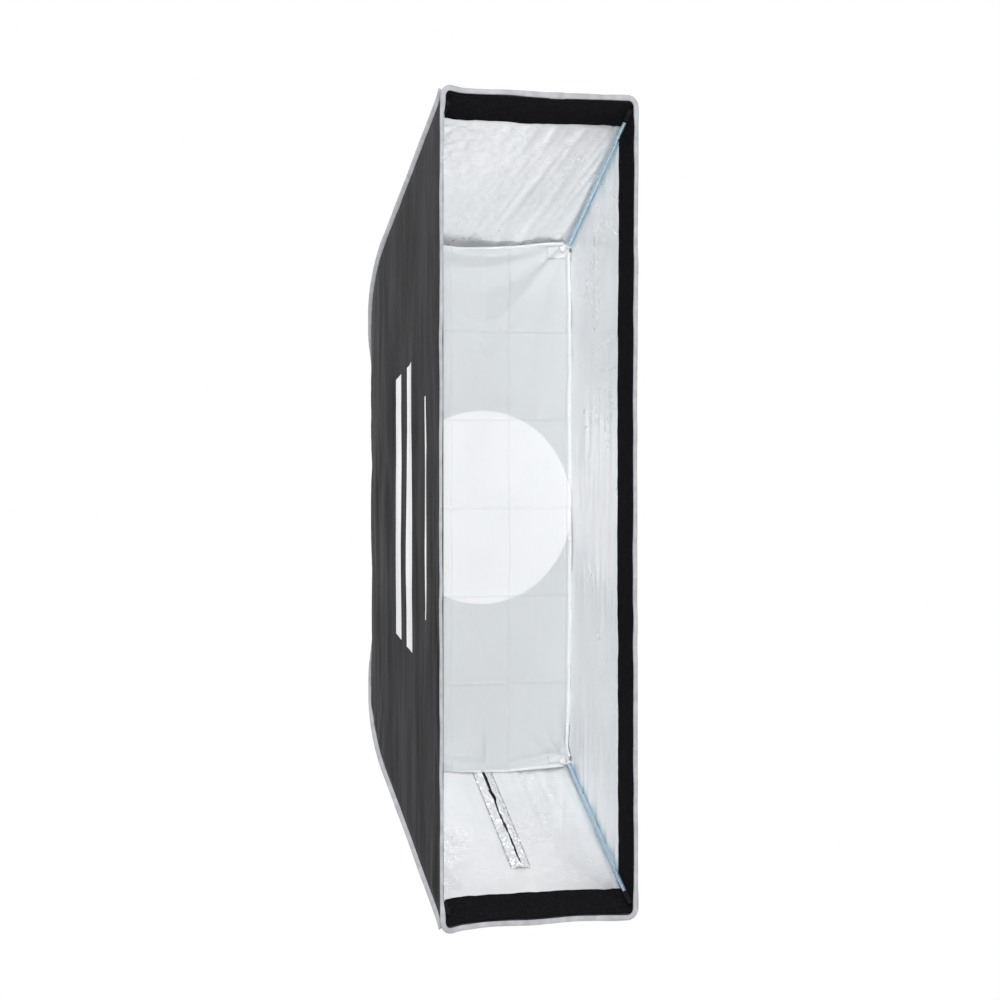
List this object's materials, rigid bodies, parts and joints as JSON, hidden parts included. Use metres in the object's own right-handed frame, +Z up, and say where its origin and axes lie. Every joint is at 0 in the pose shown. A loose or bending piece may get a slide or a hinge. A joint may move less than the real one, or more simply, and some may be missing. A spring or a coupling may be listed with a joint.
{
  "type": "strip softbox",
  "caption": "Tall narrow cloth light-shaper on curved spring rods, with silver lining, inner diffuser, base zip and a turning light mount.",
  "frame": {"origin": "centre of the light mount's bore, on the seat that meets the light", "axes": "+Y along the bore, back towards the light, so the mouth faces -Y; +Z up along the long side of the mouth; +X to the right when facing the mouth from -Y"},
  "size_m": [0.3132, 0.463, 1.2132],
  "materials": {
    "mount_aluminium": "satin machined",
    "lug_steel": "satin",
    "fastener_steel": "zinc plated",
    "ring_black": "matt powder coat",
    "socket_metal": "satin",
    "knob_plastic": "fine grain",
    "rod_steel": "polished spring steel",
    "tip_plastic": "gloss",
    "pocket_webbing": "woven webbing",
    "outer_cloth": "black satin-coated cloth",
    "silver_cloth": "silver-coated cloth",
    "loop_tape": "brushed loop pile",
    "binding_tape": "grey folded tape",
    "diffuser_cloth": "fine white translucent cloth",
    "disc_cloth": "second white layer",
    "zip_black": "zip tape and coil",
    "zip_metal": "black enamel"
  },
  "bodies": {
    "mount_insert": {"insert_sleeve": "mount_aluminium", "bayonet_lug_1": "lug_steel", "bayonet_lug_2": "lug_steel", "bayonet_lug_3": "lug_steel", "lug_rivets": "fastener_steel", "retaining_ring": "mount_aluminium", "retainer_screws": "fastener_steel"},
    "thumb_screw_1": {"thumb_stud_1": "fastener_steel", "thumb_knob_1": "knob_plastic"},
    "thumb_screw_2": {"thumb_stud_2": "fastener_steel", "thumb_knob_2": "knob_plastic"},
    "thumb_screw_3": {"thumb_stud_3": "fastener_steel", "thumb_knob_3": "knob_plastic"},
    "zip_slider": {"zip_slider": "zip_metal"},
    "zip_pull": {"zip_pull": "zip_metal"},
    "softbox": {"socket_screws": "fastener_steel", "speedring": "ring_black", "rod_socket_right_top": "socket_metal", "rod_socket_right_bottom": "socket_metal", "rod_socket_left_top": "socket_metal", "rod_socket_left_bottom": "socket_metal", "rod_right_top": "rod_steel", "rod_right_bottom": "rod_steel", "rod_left_top": "rod_steel", "rod_left_bottom": "rod_steel", "rod_tips": "tip_plastic", "corner_pocket_right_top": "pocket_webbing", "corner_pocket_right_bottom": "pocket_webbing", "corner_pocket_left_top": "pocket_webbing", "corner_pocket_left_bottom": "pocket_webbing", "outer_panel_top": "outer_cloth", "outer_panel_bottom": "outer_cloth", "outer_panel_left": "outer_cloth", "outer_panel_right": "outer_cloth", "rear_collar": "outer_cloth", "silver_lining_top": "silver_cloth", "silver_lining_bottom": "silver_cloth", "silver_lining_left": "silver_cloth", "silver_lining_right": "silver_cloth", "zip_facings": "silver_cloth", "lip_strip_top": "loop_tape", "lip_strip_bottom": "loop_tape", "lip_strip_left": "loop_tape", "lip_strip_right": "loop_tape", "front_binding": "binding_tape", "seam_binding_right_top": "binding_tape", "seam_binding_right_bottom": "binding_tape", "seam_binding_left_top": "binding_tape", "seam_binding_left_bottom": "binding_tape", "inner_diffuser": "diffuser_cloth", "diffuser_tie_right_top": "diffuser_cloth", "diffuser_tie_right_bottom": "diffuser_cloth", "diffuser_tie_left_top": "diffuser_cloth", "diffuser_tie_left_bottom": "diffuser_cloth", "diffuser_disc": "disc_cloth", "zip_tape_left": "zip_black", "zip_tape_right": "zip_black", "zip_coil": "zip_black", "zip_stops": "zip_metal"}
  },
  "joints": [
    {"name": "ring_turn", "type": "hinge", "parent": "mount_insert", "child": "softbox", "pos_m": [0, 0, 0], "axis": [0, 1, 0], "continuous": true},
    {"name": "thumb_turn_1", "type": "hinge", "parent": "softbox", "child": "thumb_screw_1", "pos_m": [0, -0.0116, 0.072], "axis": [0, 0, 1], "range_deg": [0, 720]},
    {"name": "thumb_turn_2", "type": "hinge", "parent": "softbox", "child": "thumb_screw_2", "pos_m": [-0.06235, -0.0116, -0.036], "axis": [-0.866, 0, -0.5], "range_deg": [0, 720]},
    {"name": "thumb_turn_3", "type": "hinge", "parent": "softbox", "child": "thumb_screw_3", "pos_m": [0.06235, -0.0116, -0.036], "axis": [0.866, 0, -0.5], "range_deg": [0, 720]},
    {"name": "zip_run", "type": "slide", "parent": "softbox", "child": "zip_slider", "axis": [0, 0.7771, 0.6293], "range_m": [-0.14, 0.043]},
    {"name": "pull_swing", "type": "hinge", "parent": "zip_slider", "child": "zip_pull", "pos_m": [0, -0.25197, -0.4427], "axis": [1, 0, 0], "range_deg": [-47, 125]}
  ]
}
